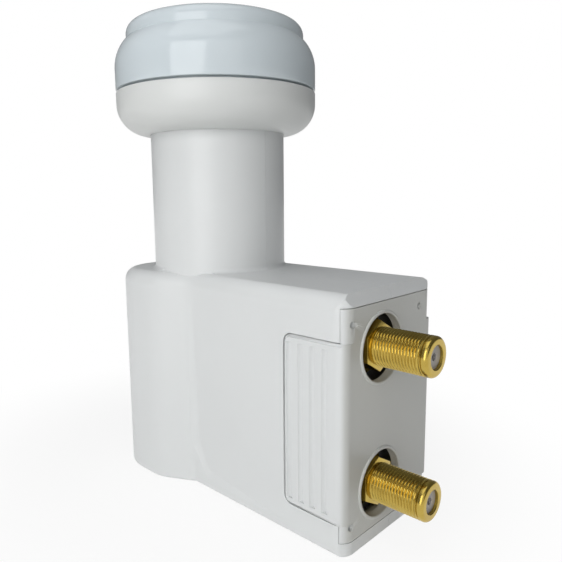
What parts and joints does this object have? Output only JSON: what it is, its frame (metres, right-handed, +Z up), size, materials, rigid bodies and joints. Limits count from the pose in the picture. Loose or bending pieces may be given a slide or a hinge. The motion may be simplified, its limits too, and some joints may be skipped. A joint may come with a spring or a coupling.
{
  "type": "satellite lnb",
  "caption": "Twin-output satellite LNB: capped feed head and round clamp neck on a moulded body, side-facing F connectors and a ribbed weather cover that slides out over the plugs.",
  "frame": {"origin": "centre of the neck axis on the flat base face of the body", "axes": "+Z up along the neck to the feed cap, +X towards the connectors, -Y the panelled side"},
  "size_m": [0.1064, 0.059, 0.1329],
  "materials": {
    "shell": "satin white moulded plastic",
    "cover": "satin white moulded plastic",
    "collar": "warm white satin plastic",
    "cap": "glossy bluish grey plastic",
    "seal": "black rubber",
    "casting": "die-cast, fine grained",
    "sheet": "plain sheet",
    "board": "green solder mask",
    "tin": "tinned sheet",
    "chip": "black epoxy",
    "puck": "fired dielectric",
    "gold": "gold flashed brass",
    "insulation": "grey white polymer",
    "steel": "zinc plated"
  },
  "bodies": {
    "lnb": {"left_shell": "shell", "right_shell": "shell", "collar_ring": "collar", "feed_cap": "cap", "cap_seal": "seal", "chassis": "casting", "chassis_lid": "sheet", "lid_gasket": "seal", "rf_board": "board", "shield_frame": "tin", "mixer_chip": "chip", "switch_chip": "chip", "regulator": "chip", "resonator_low": "puck", "resonator_high": "puck", "tuning_screw_low": "gold", "tuning_screw_high": "gold", "probe_vertical": "gold", "probe_horizontal": "gold", "bead_vertical": "insulation", "bead_horizontal": "insulation", "reflector_pin": "sheet", "connector_upper": "gold", "connector_lower": "gold", "insulator_upper": "insulation", "insulator_lower": "insulation", "contact_upper": "gold", "contact_lower": "gold", "washer_upper": "gold", "washer_lower": "gold", "lid_screw_a": "steel", "lid_screw_b": "steel", "lid_screw_c": "steel", "lid_screw_d": "steel", "lid_screw_e": "steel", "lid_screw_f": "steel", "shell_screw_a": "steel", "shell_screw_b": "steel", "shell_screw_c": "steel", "shell_screw_d": "steel"},
    "cover": {"weather_cover": "cover"}
  },
  "joints": [
    {"name": "cover_slide", "type": "slide", "parent": "lnb", "child": "cover", "axis": [1, 0, 0], "range_m": [0, 0.02]}
  ]
}
